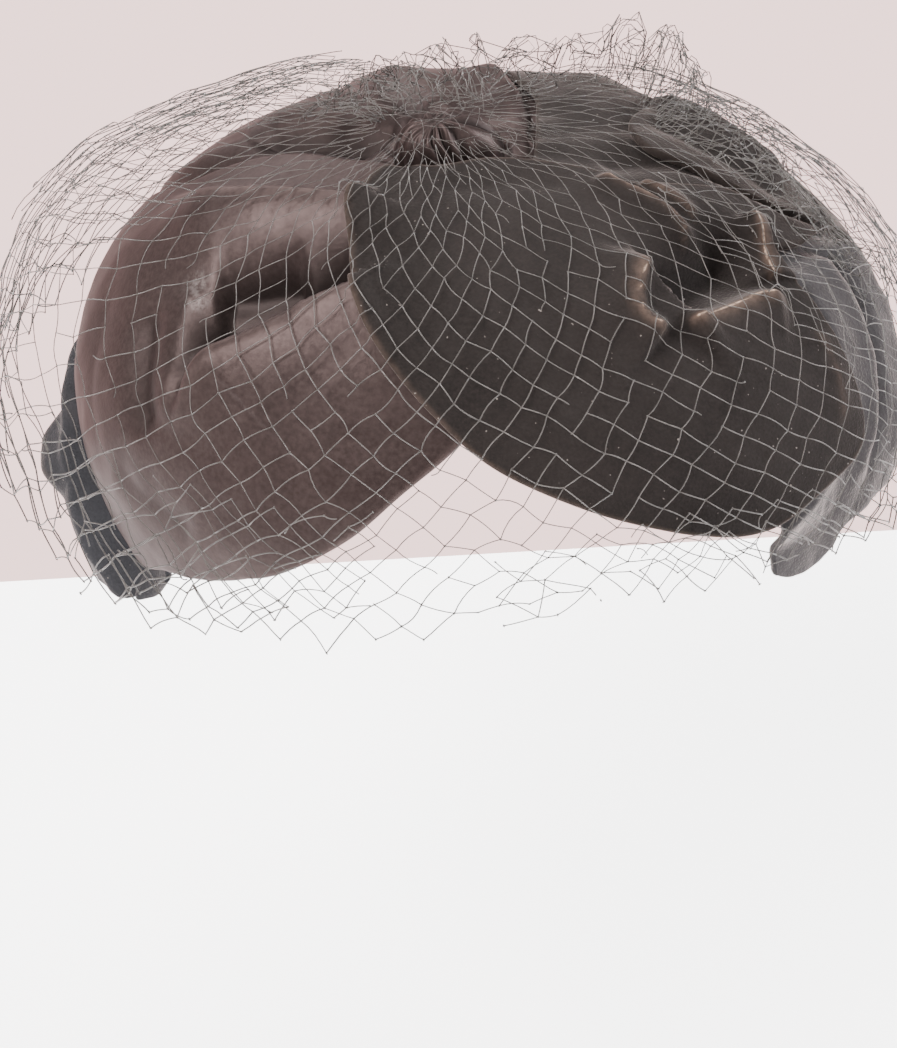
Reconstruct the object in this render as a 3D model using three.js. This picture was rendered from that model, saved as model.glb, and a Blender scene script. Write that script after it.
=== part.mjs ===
// A worn cocktail hat of padded petals: satin and velvet layers sewn round a crown knot,
// a velvet drape down each side, and a coarse veil that hangs from the knot over the front and sides.
// Millimetres, +Z up, front toward -Y. The origin is where the crown's inside sits on the head.
import * as THREE from 'three';

// The rounded form that the petals are laid over
const hat_width = 200;
const hat_depth = 168;
const crown_height = 70;
const side_fullness = 95;
const crown_clearance = 11;

// Cloth
const cloth_wall = 2;
const layer_gap = 0.8;
const rim_rounding = 0.5;
const petal_puff = 1.5;
const fold_depth = 4;
const back_hollow = 4;
const satin_dip = 8;
const velvet_dip = 4;
const dip_start = 13;
const dip_spread = 24;
const drape_flare = 7;
const pleat_depth = 2;
const knot_height = 10;
const knot_gather = 1;

// Veil
const veil_stand_off = 9.5;
const veil_rise = 22;
const veil_start = 6.8;
const veil_balloon = 15;
const strand_width = 1.5;
const strand_thickness = 0.9;
const veil_columns = 20;
const veil_steps = 7;

const half_width = hat_width / 2;
const half_depth = hat_depth / 2;
const widest_level = crown_clearance - crown_height;
const layer_pitch = cloth_wall + layer_gap;
const degree = Math.PI / 180;

// Places on the form are given by bearing, in degrees round from the front toward +X,
// and fall, in degrees down from the crown. The chart spreads them flat round the crown.
function toChart(bearing, fall) {
  return new THREE.Vector2(Math.sin(bearing * degree), -Math.cos(bearing * degree)).multiplyScalar(fall);
}

function onForm(spot) {
  const fall = spot.length() * degree;
  const bearing = Math.atan2(spot.x, -spot.y);
  const drop = fall <= Math.PI / 2 ? crown_height : side_fullness;
  const out = Math.sin(fall);
  const up = Math.cos(fall);
  const place = new THREE.Vector3(
    half_width * out * Math.sin(bearing),
    -half_depth * out * Math.cos(bearing),
    drop * up + widest_level,
  );
  const normal = new THREE.Vector3(
    (out * Math.sin(bearing)) / half_width,
    (-out * Math.cos(bearing)) / half_depth,
    up / drop,
  ).normalize();
  return { place, normal };
}

function ease(share) {
  const t = Math.min(Math.max(share, 0), 1);
  return t * t * (3 - 2 * t);
}

const mix = (a, b, t) => a + (b - a) * t;

// A ridge or valley along a line of places: height and widths to its left and right, faded in and out.
function makeFold({ line, height, left, right, fade_in = 0.15, fade_out = 0.2 }) {
  const spots = line.map(([bearing, fall]) => toChart(bearing, fall));
  const curve = new THREE.CatmullRomCurve3(
    spots.map((s) => new THREE.Vector3(s.x, s.y, 0)), false, 'catmullrom', 0.5,
  );
  const points = curve.getPoints(line.length * 5);
  return (spot) => {
    let best = Infinity;
    let side = 1;
    let along = 0;
    for (let i = 0; i + 1 < points.length; i++) {
      const run = new THREE.Vector2(points[i + 1].x - points[i].x, points[i + 1].y - points[i].y);
      const from = new THREE.Vector2(spot.x - points[i].x, spot.y - points[i].y);
      const t = Math.min(Math.max(from.dot(run) / run.lengthSq(), 0), 1);
      const away = from.clone().addScaledVector(run, -t).length();
      if (away < best) {
        best = away;
        side = run.cross(from);
        along = (i + t) / (points.length - 1);
      }
    }
    const width = side > 0 ? left : right;
    const fade = ease(fade_in ? along / fade_in : 1) * ease(fade_out ? (1 - along) / fade_out : 1);
    return height * fade * Math.exp(-((best / width) ** 1.6));
  };
}

// The reach of a closed outline from its middle, in each direction of the chart.
function makeOutline(middle, rows) {
  const centre = toChart(...middle);
  const spots = rows.map(([bearing, fall]) => toChart(bearing, fall));
  const curve = new THREE.CatmullRomCurve3(
    spots.map((s) => new THREE.Vector3(s.x, s.y, 0)), true, 'catmullrom', 0.5,
  );
  const samples = curve.getPoints(rows.length * 12).slice(0, -1).map((p) => {
    const from = new THREE.Vector2(p.x, p.y).sub(centre);
    return { turn: Math.atan2(from.y, from.x), reach: from.length() };
  }).sort((a, b) => a.turn - b.turn);
  const reachAt = (turn) => {
    let low = samples.length - 1;
    for (let i = 0; i < samples.length && samples[i].turn <= turn; i++) low = i;
    const a = samples[low];
    const b = samples[(low + 1) % samples.length];
    const span = (b.turn - a.turn + 2 * Math.PI) % (2 * Math.PI);
    const step = (turn - a.turn + 2 * Math.PI) % (2 * Math.PI);
    return mix(a.reach, b.reach, span > 0 ? step / span : 0);
  };
  const shareAt = (spot) => {
    const from = spot.clone().sub(centre);
    return from.length() / reachAt(Math.atan2(from.y, from.x));
  };
  return { centre, reachAt, shareAt };
}

// How far a spot is out from under a covering piece: 0 beneath it, 1 well clear of it.
const cover_margin = 0.06;
const cover_rise = 0.22;
const clearOf = (cover, spot, rise) => ease((cover.shareAt(spot) - 1 - cover_margin) / rise);

// One closed solid of cloth from a flat net of chart places: an outer face, an inner face and the rims.
function clothSolid(spots, faces, outerHeight, innerHeight) {
  const count = spots.length;
  const positions = [];
  for (const heightAt of [outerHeight, innerHeight]) {
    for (const spot of spots) {
      const { place, normal } = onForm(spot);
      place.addScaledVector(normal, heightAt(spot));
      positions.push(place.x, place.y, place.z);
    }
  }
  const index = [];
  const edges = new Map();
  for (const [a, b, c] of faces) {
    index.push(a, b, c, a + count, c + count, b + count);
    for (const [from, to] of [[a, b], [b, c], [c, a]]) edges.set(`${from},${to}`, [from, to]);
  }
  for (const [from, to] of edges.values()) {
    if (edges.has(`${to},${from}`)) continue;
    index.push(from, from + count, to, to, from + count, to + count);
  }
  const geometry = new THREE.BufferGeometry();
  geometry.setAttribute('position', new THREE.Float32BufferAttribute(positions, 3));
  geometry.setIndex(index);
  geometry.computeVertexNormals();
  return geometry;
}

// A petal's net: a square of cells drawn out to fill its outline.
function petalNet(outline, cells) {
  const spots = [];
  for (let i = 0; i <= cells; i++) {
    for (let j = 0; j <= cells; j++) {
      const x = (2 * i) / cells - 1;
      const y = (2 * j) / cells - 1;
      const step = new THREE.Vector2(x * Math.sqrt(1 - (y * y) / 2), y * Math.sqrt(1 - (x * x) / 2));
      spots.push(outline.centre.clone().addScaledVector(step, outline.reachAt(Math.atan2(step.y, step.x))));
    }
  }
  const faces = [];
  for (let i = 0; i < cells; i++) {
    for (let j = 0; j < cells; j++) {
      const a = i * (cells + 1) + j;
      const b = a + cells + 1;
      const outward = (2 * i + 1 - cells) * (2 * j + 1 - cells) > 0;
      if (outward) faces.push([a, b, b + 1], [a, b + 1, a + 1]);
      else faces.push([a, b, a + 1], [b, b + 1, a + 1]);
    }
  }
  return { spots, faces };
}

// A petal: its level over the form, its puff and folds, a dip toward the crown,
// and under each cover a drop of one layer below it, or further where it sinks away.
function makePetal({ outline, level, puff = 0, dip = 0, folds = [], covers = [] }) {
  const lines = folds.map((fold) => makeFold({ ...fold, height: fold.height * fold_depth }));
  const heightAt = (spot) => {
    let height = level + puff * (1 - Math.min(outline.shareAt(spot), 1) ** 2);
    height -= dip * (1 - ease((spot.length() - dip_start) / dip_spread));
    for (const line of lines) height += line(spot);
    return underCovers(height, spot, covers);
  };
  return { outline, heightAt };
}

function underCovers(free_height, spot, covers) {
  let height = free_height;
  for (const { over, sink = 0, rise = cover_rise } of covers) {
    const beneath = over.heightAt(spot) - layer_pitch - sink;
    height = mix(Math.min(beneath, height), height, clearOf(over.outline, spot, rise));
  }
  return height;
}

function petalSolid(petal, cells) {
  const turnedIn = (spot) => ease((petal.outline.shareAt(spot) - 0.9) / 0.1) * rim_rounding;
  const { spots, faces } = petalNet(petal.outline, cells);
  return clothSolid(
    spots, faces,
    (spot) => petal.heightAt(spot) - turnedIn(spot),
    (spot) => petal.heightAt(spot) - cloth_wall + turnedIn(spot),
  );
}

// Outlines, as bearing and fall
const satin_front_outline = makeOutline([-45, 55], [
  [-56, 14], [-73, 18.9], [-84.4, 24.5], [-90, 33], [-92.5, 46.5], [-100, 60], [-97, 72], [-88, 79],
  [-79, 83.5], [-71, 91], [-64, 99], [-57, 106], [-50, 104.5], [-42.4, 99.3], [-35.9, 96.3], [-29.8, 93.1],
  [-23, 88.6], [-17, 82.5], [-10.7, 74.6], [-4.7, 65.4], [2.9, 56], [12, 44], [16, 30], [0, 18], [-30, 14],
]);
const velvet_front_outline = makeOutline([38, 42], [
  [-49.1, 16.5], [-40.1, 23], [-32.2, 27.3], [-22.9, 34.2], [-12.6, 42.7], [-1.5, 51.7], [8.5, 60],
  [21.1, 67.6], [33.8, 74.4], [44.1, 77.8], [56, 75.5], [63.8, 73.1], [66.8, 66.3], [68.6, 58.7],
  [71.6, 49.6], [73.5, 40.7], [81.4, 37.1], [87, 32.5], [69.2, 21.5], [60, 14.5], [45, 10.5], [10, 8.2],
  [-22, 10.8], [-39.4, 14],
]);
const satin_back_outline = makeOutline([-120, 46], [
  [-95, 12], [-78, 24], [-80, 36], [-82, 50], [-86, 62], [-95, 74], [-112, 84], [-135, 87], [-158, 86],
  [-176, 82], [176, 66], [172, 44], [160, 24], [110, 9], [20, 5], [-50, 7],
]);
const velvet_back_outline = makeOutline([142, 46], [
  [60, 7], [66, 14], [74, 22], [82, 31], [90, 42], [102, 52], [111, 65], [122, 79], [141, 87], [162, 87],
  [-178, 83], [-171, 66], [-163, 48], [-157, 33], [-165, 22], [172, 14], [120, 7],
]);
const crown_fold_outline = makeOutline([113, 36], [
  [138, 30], [146, 38], [141, 42], [130.3, 41], [120, 44], [114.8, 49.5], [109, 51.5], [101, 49.5],
  [96.5, 43], [94.5, 36.4], [97.5, 28.2], [103, 21.2], [123.5, 21.2],
]);
const knot_outline = makeOutline([-73, 6.8], [
  [-124, 10], [-100, 12], [-72, 12.6], [-46, 10.2], [-22, 5.6], [40, 2.6], [150, 3.6], [-160, 6],
]);

// Folds, as lines of bearing and fall, with heights as shares of the fold depth
const satin_front_folds = [
  { line: [[-43, 23], [-58.6, 29], [-70, 36.6], [-86, 50]], height: 0.9, left: 2, right: 8, fade_in: 0, fade_out: 0.3 },
  { line: [[-30, 33], [-38.5, 37.5], [-48, 44], [-58, 50]], height: -1.5, left: 5, right: 4, fade_in: 0, fade_out: 0.3 },
  { line: [[-23, 35], [-29.4, 40.2], [-35.2, 46.7], [-40.9, 53.7], [-40.1, 61.5], [-39.7, 69.1]],
    height: 0.8, left: 12, right: 3, fade_in: 0, fade_out: 0.3 },
  { line: [[-53, 47.6], [-46.2, 53.7], [-42.3, 61], [-39.7, 69.1]], height: 0.7, left: 4, right: 4 },
  { line: [[-61.3, 53.8], [-53.9, 60], [-48.3, 66.6], [-44.9, 70.6]], height: -0.6, left: 4, right: 4 },
];
const velvet_front_folds = [
  { line: [[50, 38], [63, 37], [76, 37]], height: -2.8, left: 5, right: 6, fade_in: 0.1, fade_out: 0.3 },
  { line: [[46, 31], [37.7, 36.5], [36.7, 40], [40.2, 43]], height: 0.8, left: 3, right: 4 },
  { line: [[39, 43.5], [47.4, 44], [59.6, 45], [68.6, 49.5]], height: 0.8, left: 3.5, right: 4 },
  { line: [[55, 18], [62, 25], [64, 32], [58, 36]], height: 0.7, left: 3, right: 3 },
  { line: [[76, 34], [72, 39], [67, 43.5]], height: 0.7, left: 3, right: 3 },
];
const satin_back_folds = [
  { line: [[-115, 14], [-122, 26], [-126, 40], [-128, 58]], height: 0.6, left: 5, right: 7 },
  { line: [[-160, 14], [-158, 28], [-152, 44], [-148, 62]], height: 0.5, left: 5, right: 5 },
];
const velvet_back_folds = [
  { line: [[150, 14], [158, 28], [164, 46], [166, 66]], height: 0.5, left: 6, right: 6 },
  { line: [[120, 18], [132, 34], [138, 52], [140, 70]], height: -0.5, left: 5, right: 5 },
];
const crown_folds = [
  { line: [[140, 31], [132, 36], [120, 39], [108, 46]], height: 0.9, left: 5, right: 7 },
];

// Layers, from the top one down
const velvet_front = makePetal({
  outline: velvet_front_outline, level: layer_pitch, puff: petal_puff, folds: velvet_front_folds,
});
const crown_fold = makePetal({
  outline: crown_fold_outline, level: 0, folds: crown_folds,
});
const velvet_back = makePetal({
  outline: velvet_back_outline, level: 0, dip: velvet_dip, folds: velvet_back_folds,
  covers: [{ over: velvet_front }, { over: crown_fold }],
});
const satin_front = makePetal({
  outline: satin_front_outline, level: 0, puff: petal_puff, folds: satin_front_folds,
  covers: [{ over: velvet_front }],
});

// The crown knot: a gathered button of satin, seated in the dip of the back petal
const knot_seat = layer_pitch - satin_dip;
const crown_knot = { outline: knot_outline, heightAt: () => knot_seat };
const satin_back = makePetal({
  outline: satin_back_outline, level: 0, dip: satin_dip, folds: satin_back_folds,
  covers: [{ over: velvet_back }, { over: satin_front, sink: back_hollow }, { over: crown_knot }],
});

function knotSolid() {
  const gathers = 9;
  const seat = knot_seat - cloth_wall;
  const dome = (spot) => {
    const share = Math.min(knot_outline.shareAt(spot), 1);
    const from = spot.clone().sub(knot_outline.centre);
    const wave = Math.cos(gathers * Math.atan2(from.y, from.x)) * knot_gather * share * (1.2 - share);
    return knot_seat + knot_height * Math.sqrt(Math.max(1 - share ** 3, 0)) + wave;
  };
  const { spots, faces } = petalNet(knot_outline, 12);
  return clothSolid(spots, faces, dome, () => seat);
}

// Side drapes: bands round the lower sides, from a hanging tab at the front to the middle of the back
const right_rows = [
  { bearing: 46, top: 74, bottom: 90, flare: -0.2 },
  { bearing: 50, top: 70, bottom: 93.5, flare: -0.2 },
  { bearing: 55.5, top: 64, bottom: 95.5, flare: -0.2 },
  { bearing: 62, top: 56, bottom: 91.5, flare: -0.2 },
  { bearing: 70, top: 47, bottom: 91.5, flare: -0.1 },
  { bearing: 82, top: 41, bottom: 93, flare: 0 },
  { bearing: 96, top: 43, bottom: 94, flare: 0 },
  { bearing: 115, top: 56, bottom: 95, flare: 0 },
  { bearing: 145, top: 72, bottom: 95, flare: 0 },
  { bearing: 179.7, top: 76, bottom: 94, flare: 0 },
];
const left_rows = [
  { bearing: -179.7, top: 76, bottom: 94, flare: 0 },
  { bearing: -145, top: 76, bottom: 95, flare: 0 },
  { bearing: -115, top: 76, bottom: 98, flare: 0.5 },
  { bearing: -92, top: 77, bottom: 104, flare: 1.2 },
  { bearing: -77, top: 77, bottom: 109, flare: 1.7 },
  { bearing: -67, top: 80, bottom: 112, flare: 1.7 },
  { bearing: -58, top: 86, bottom: 113.5, flare: 1.4 },
  { bearing: -51, top: 92, bottom: 112.5, flare: 0.4 },
  { bearing: -46.5, top: 96, bottom: 106, flare: 0 },
];

function rowAt(rows, run, column) {
  const low = Math.min(Math.floor(run), rows.length - 2);
  const [a, b, c, d] = [-1, 0, 1, 2].map((step) => {
    return rows[Math.min(Math.max(low + step, 0), rows.length - 1)][column];
  });
  const t = run - low;
  const bend = (2 * a - 5 * b + 4 * c - d) * t * t + (3 * b - a - 3 * c + d) * t * t * t;
  return 0.5 * (2 * b + (c - a) * t + bend);
}

function drapeSolid(rows, covers, pleats, bump) {
  const runs = (rows.length - 1) * 3;
  const falls = 8;
  const spots = [];
  const details = new Map();
  for (let i = 0; i <= runs; i++) {
    const run = (i / runs) * (rows.length - 1);
    for (let j = 0; j <= falls; j++) {
      const down = j / falls;
      const fall = mix(rowAt(rows, run, 'top'), rowAt(rows, run, 'bottom'), down);
      const spot = toChart(rowAt(rows, run, 'bearing'), fall);
      details.set(spot, { down, flare: rowAt(rows, run, 'flare') });
      spots.push(spot);
    }
  }
  const faces = [];
  for (let i = 0; i < runs; i++) {
    for (let j = 0; j < falls; j++) {
      const a = i * (falls + 1) + j;
      const b = a + falls + 1;
      faces.push([a, a + 1, b + 1], [a, b + 1, b]);
    }
  }
  const heightAt = (spot) => {
    const { down, flare } = details.get(spot);
    const pleat = pleat_depth * Math.sin(down * pleats * 2 * Math.PI);
    return underCovers(flare * drape_flare * ease((down - 0.25) / 0.5) + pleat + bump(spot), spot, covers);
  };
  return clothSolid(spots, faces, heightAt, (spot) => heightAt(spot) - cloth_wall);
}

const no_bump = () => 0;
const left_bump = makeFold({ line: [[-84, 86], [-74, 90], [-64, 93]], height: 1.5 * fold_depth, left: 5, right: 5 });

// The veil: a net of crossing strands from the knot to its hem, open at the back
const veil_rows = [
  { bearing: -150, hem: 78, balloon: 0.2 },
  { bearing: -125, hem: 86, balloon: 0.6 },
  { bearing: -100, hem: 93, balloon: 1 },
  { bearing: -75, hem: 95, balloon: 1 },
  { bearing: -52, hem: 98, balloon: 0.3 },
  { bearing: -33, hem: 95, balloon: 0 },
  { bearing: -12, hem: 90, balloon: 0 },
  { bearing: 4, hem: 84, balloon: 0 },
  { bearing: 18, hem: 77, balloon: 0 },
  { bearing: 34, hem: 78, balloon: 0 },
  { bearing: 52, hem: 83, balloon: 0 },
  { bearing: 80, hem: 90, balloon: 0.1 },
  { bearing: 110, hem: 90, balloon: 0.2 },
  { bearing: 150, hem: 78, balloon: 0.2 },
];

function veilSolid() {
  const columnAt = (bearing, column) => {
    let low = 0;
    while (low + 2 < veil_rows.length && veil_rows[low + 1].bearing < bearing) low += 1;
    const span = veil_rows[low + 1].bearing - veil_rows[low].bearing;
    return rowAt(veil_rows, low + (bearing - veil_rows[low].bearing) / span, column);
  };
  const first = veil_rows[0].bearing;
  const last = veil_rows[veil_rows.length - 1].bearing;
  const knotAt = (column, step) => {
    const bearing = mix(first, last, column / veil_columns);
    const start = toChart(bearing, veil_start).add(knot_outline.centre);
    return start.lerp(toChart(bearing, columnAt(bearing, 'hem')), step / veil_steps);
  };
  const heightAt = (spot) => {
    const bearing = Math.atan2(spot.x, -spot.y) / degree;
    const swell = columnAt(Math.min(Math.max(bearing, first), last), 'balloon');
    const away = spot.distanceTo(knot_outline.centre) - veil_start;
    const seated = layer_pitch + layer_gap + strand_thickness;
    const stand_off = mix(seated, veil_stand_off, ease(away / veil_rise));
    return stand_off + veil_balloon * swell * ease((spot.length() - 20) / 45);
  };
  const spots = [];
  const corners = new Map();
  const ends = [];
  for (let step = 0; step <= veil_steps; step++) {
    const shift = (step % 2) / 2;
    for (let i = 0; i + 2 * shift <= veil_columns; i++) {
      const column = i + shift;
      const centre = knotAt(column, step);
      const { place } = onForm(centre);
      const side = knotAt(Math.min(column + 0.1, veil_columns), step).sub(knotAt(Math.max(column - 0.1, 0), step));
      const down = toChart(Math.atan2(centre.x, -centre.y) / degree, 1);
      const perDegree = onForm(centre.clone().add(down)).place.distanceTo(place);
      const sideways = side.clone().normalize();
      const perSide = onForm(centre.clone().add(sideways)).place.distanceTo(place);
      const reach = strand_width * 0.7;
      corners.set(`${column},${step}`, spots.length);
      spots.push(centre.clone().addScaledVector(down, -reach / perDegree));
      spots.push(centre.clone().addScaledVector(sideways, reach / perSide));
      spots.push(centre.clone().addScaledVector(down, reach / perDegree));
      spots.push(centre.clone().addScaledVector(sideways, -reach / perSide));
      ends.push([column, step]);
    }
  }
  const faces = [];
  for (const [column, step] of ends) {
    const at = corners.get(`${column},${step}`);
    const [up, right, down, left] = [at, at + 1, at + 2, at + 3];
    faces.push([up, left, right], [left, down, right]);
    const belowLeft = corners.get(`${column - 0.5},${step + 1}`);
    const belowRight = corners.get(`${column + 0.5},${step + 1}`);
    if (belowLeft !== undefined) {
      faces.push([left, belowLeft, down], [down, belowLeft, belowLeft + 1]);
    }
    if (belowRight !== undefined) {
      faces.push([down, belowRight + 3, belowRight], [down, belowRight, right]);
    }
  }
  return clothSolid(spots, faces, heightAt, (spot) => heightAt(spot) - strand_thickness);
}

// Cloths
const satin = { color: 0x5a4b48, roughness: 0.5, metalness: 0 };
const velvet = { color: 0x2f2b29, roughness: 0.95, metalness: 0 };
const net = { color: 0x2a2522, roughness: 0.8, metalness: 0 };

function named(name, geometry, cloth) {
  const mesh = new THREE.Mesh(geometry, new THREE.MeshStandardMaterial(cloth));
  mesh.name = name;
  return mesh;
}

const group = new THREE.Group();
group.add(
  named('satin_front_petal', petalSolid(satin_front, 20), satin),
  named('velvet_front_petal', petalSolid(velvet_front, 20), velvet),
  named('satin_back_petal', petalSolid(satin_back, 16), satin),
  named('velvet_back_petal', petalSolid(velvet_back, 16), velvet),
  named('velvet_crown_fold', petalSolid(crown_fold, 9), velvet),
  named('satin_knot', knotSolid(), satin),
  named('side_drape_right', drapeSolid(
    right_rows, [{ over: velvet_front }, { over: velvet_back }, { over: crown_fold }], 2, no_bump,
  ), velvet),
  named('side_drape_left', drapeSolid(
    left_rows, [{ over: satin_front, rise: 0.12 }, { over: satin_back }], 1, left_bump,
  ), velvet),
  named('veil', veilSolid(), net),
);
export default group;
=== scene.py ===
"""A well-used cocktail hat: satin and velvet petals, side drapes and a torn net veil, round its frame."""

import math

import bpy
import numpy as np
from mathutils import Matrix, Vector


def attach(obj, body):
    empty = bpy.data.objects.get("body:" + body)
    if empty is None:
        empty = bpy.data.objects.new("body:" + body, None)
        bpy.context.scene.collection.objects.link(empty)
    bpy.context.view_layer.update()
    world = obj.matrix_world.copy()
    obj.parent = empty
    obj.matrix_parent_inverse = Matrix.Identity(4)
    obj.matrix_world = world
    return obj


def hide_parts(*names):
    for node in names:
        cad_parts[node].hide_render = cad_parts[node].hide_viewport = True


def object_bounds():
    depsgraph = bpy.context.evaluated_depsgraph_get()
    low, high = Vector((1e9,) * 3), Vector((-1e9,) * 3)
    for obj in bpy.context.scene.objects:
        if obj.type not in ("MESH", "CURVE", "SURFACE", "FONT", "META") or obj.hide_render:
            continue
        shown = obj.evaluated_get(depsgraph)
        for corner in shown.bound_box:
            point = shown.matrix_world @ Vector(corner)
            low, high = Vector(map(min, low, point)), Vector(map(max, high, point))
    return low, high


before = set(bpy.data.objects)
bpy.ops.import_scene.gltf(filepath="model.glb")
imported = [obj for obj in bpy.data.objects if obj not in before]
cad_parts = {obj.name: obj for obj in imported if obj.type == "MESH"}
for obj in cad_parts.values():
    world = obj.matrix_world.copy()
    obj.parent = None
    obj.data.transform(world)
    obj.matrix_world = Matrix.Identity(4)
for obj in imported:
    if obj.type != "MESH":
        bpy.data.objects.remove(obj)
cad_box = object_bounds()
BODY = "root"
MM = 0.001

# The rounded form under the petals, in millimetres, as in the frame
HALF_WIDTH = 100.0
HALF_DEPTH = 84.0
CROWN_HEIGHT = 70.0
SIDE_FULLNESS = 95.0
CROWN_CLEARANCE = 11.0
WIDEST_LEVEL = CROWN_CLEARANCE - CROWN_HEIGHT

# Cloth, in millimetres
WALL = 2.0
GAP = 0.8
PITCH = WALL + GAP
FOLD_DEPTH = 4.0
DRAPE_FLARE = 7.0
DRAPE_PLEAT = 1.2
KNOT_SEAT = PITCH - 8.0
KNOT_HEIGHT = 10.0
PUFF = 1.5

# Where one layer goes under another, in shares of the upper one's outline
COVER_MARGIN = 0.02
COVER_RISE = 0.14
LIFT_FROM = 0.75

# Where the petals dip toward the knot, in degrees down from the crown
DIP_START = 13.0
DIP_SPREAD = 24.0

# The net, in millimetres, then its bearings in degrees and its meshes round and down
VEIL_STAND_OFF = 5.2
VEIL_BALLOON = 17.0
VEIL_HEM_LIFT = 6.0
VEIL_AT_KNOT = PITCH + 1.2
NET_CLEARANCE = 0.7
STRAND = 0.11
TANGLE_STRAND = 0.45 * STRAND
VEIL_FIRST = -150
VEIL_LAST = 150
VEIL_START = 7.4
VEIL_COLUMNS = 50
VEIL_STEPS = 26
RUFFLE_COLUMNS = 40
RUFFLE_STEPS = 4
TANGLE_STRANDS = 90

# The stage, in metres
FLOOR_DROP = 0.16
FLOOR_REACH = 3.0
GLOW_START = 0.45
GLOW_SPREAD = 0.7
GLOW_NEAR = 3.0
GLOW_FAR = 0.4

# The camera, as it was fitted to the photograph
CAMERA_AZIMUTH = 8.0
CAMERA_ELEVATION = 39.0
CAMERA_DISTANCE = 500.0
PICTURE_WIDTH = 897
PICTURE_HEIGHT = 1048
FOCAL_PX = 2050.0
FORM_MIDDLE_PX = (487.0, 380.0)
HORIZON_PX = ((0, 582), (897, 530))
SENSOR = 36.0


def make_camera():
    """The camera looks at the middle of the form, turned so that it lands on its pixel."""
    azimuth, elevation = math.radians(CAMERA_AZIMUTH), math.radians(CAMERA_ELEVATION)
    back = Vector((
        math.sin(azimuth) * math.cos(elevation),
        -math.cos(azimuth) * math.cos(elevation),
        math.sin(elevation),
    ))
    middle = Vector((0, 0, WIDEST_LEVEL)) * MM
    right = Vector((math.cos(azimuth), math.sin(azimuth), 0))
    look = Matrix((right, back.cross(right), back)).transposed()
    aside = (FORM_MIDDLE_PX[0] - PICTURE_WIDTH / 2) / FOCAL_PX
    below = (FORM_MIDDLE_PX[1] - PICTURE_HEIGHT / 2) / FOCAL_PX
    turn = Vector((0, 0, -1)).rotation_difference(Vector((aside, -below, -1)).normalized())
    spin = look @ turn.to_matrix().inverted()
    data = bpy.data.cameras.new("camera")
    data.sensor_fit = "VERTICAL"
    data.sensor_height = SENSOR
    data.lens = FOCAL_PX / PICTURE_HEIGHT * SENSOR
    data.clip_start = 0.01
    camera = bpy.data.objects.new("camera", data)
    camera.matrix_world = Matrix.Translation(middle + back * CAMERA_DISTANCE * MM) @ spin.to_4x4()
    bpy.context.scene.collection.objects.link(camera)
    bpy.context.scene.camera = camera
    return camera, spin


camera, camera_spin = make_camera()


# Places on the form: bearing round from the front toward +X, fall down from the crown, in degrees
def chart(rows):
    rows = np.asarray(rows, float)
    turn = np.radians(rows[:, 0])
    return np.stack([np.sin(turn), -np.cos(turn)], 1) * rows[:, 1:2]


def on_form(spots):
    """Points of the form, in millimetres, and its outward directions there."""
    fall = np.radians(np.hypot(spots[:, 0], spots[:, 1]))
    bearing = np.arctan2(spots[:, 0], -spots[:, 1])
    drop = np.where(fall <= np.pi / 2, CROWN_HEIGHT, SIDE_FULLNESS)
    out, up = np.sin(fall), np.cos(fall)
    place = np.stack([
        HALF_WIDTH * out * np.sin(bearing),
        -HALF_DEPTH * out * np.cos(bearing),
        drop * up + WIDEST_LEVEL,
    ], 1)
    normal = np.stack([
        out * np.sin(bearing) / HALF_WIDTH,
        -out * np.cos(bearing) / HALF_DEPTH,
        up / drop,
    ], 1)
    return place, normal / np.linalg.norm(normal, axis=1, keepdims=True)


def ease(share):
    t = np.clip(share, 0, 1)
    return t * t * (3 - 2 * t)


def mix(a, b, t):
    return a + (b - a) * t


def spline(points, steps, closed):
    """A Catmull-Rom curve through the points."""
    points = np.asarray(points, float)
    if closed:
        padded = np.vstack([points[-1:], points, points[:2]])
    else:
        padded = np.vstack([2 * points[0] - points[1], points, 2 * points[-1] - points[-2]])
    t = np.linspace(0, 1, steps, endpoint=False)[:, None]
    pieces = []
    for a, b, c, d in zip(padded, padded[1:], padded[2:], padded[3:]):
        bend = (2 * a - 5 * b + 4 * c - d) * t ** 2 + (3 * b - a - 3 * c + d) * t ** 3
        pieces.append(0.5 * (2 * b + (c - a) * t + bend))
    if not closed:
        pieces.append(points[-1:])
    return np.vstack(pieces)


def noise(spots, size, seed):
    """Smooth noise from -1 to 1 with bumps about size degrees wide."""
    cells = 64
    grid = np.random.default_rng(seed).uniform(-1, 1, (cells, cells))
    at = spots / size + cells * 4
    low = np.floor(at).astype(int)
    t = ease(at - low)
    (i, j), (k, l) = (low % cells).T, ((low + 1) % cells).T
    near = mix(grid[i, j], grid[k, j], t[:, 0])
    far = mix(grid[i, l], grid[k, l], t[:, 0])
    return mix(near, far, t[:, 1])


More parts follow.
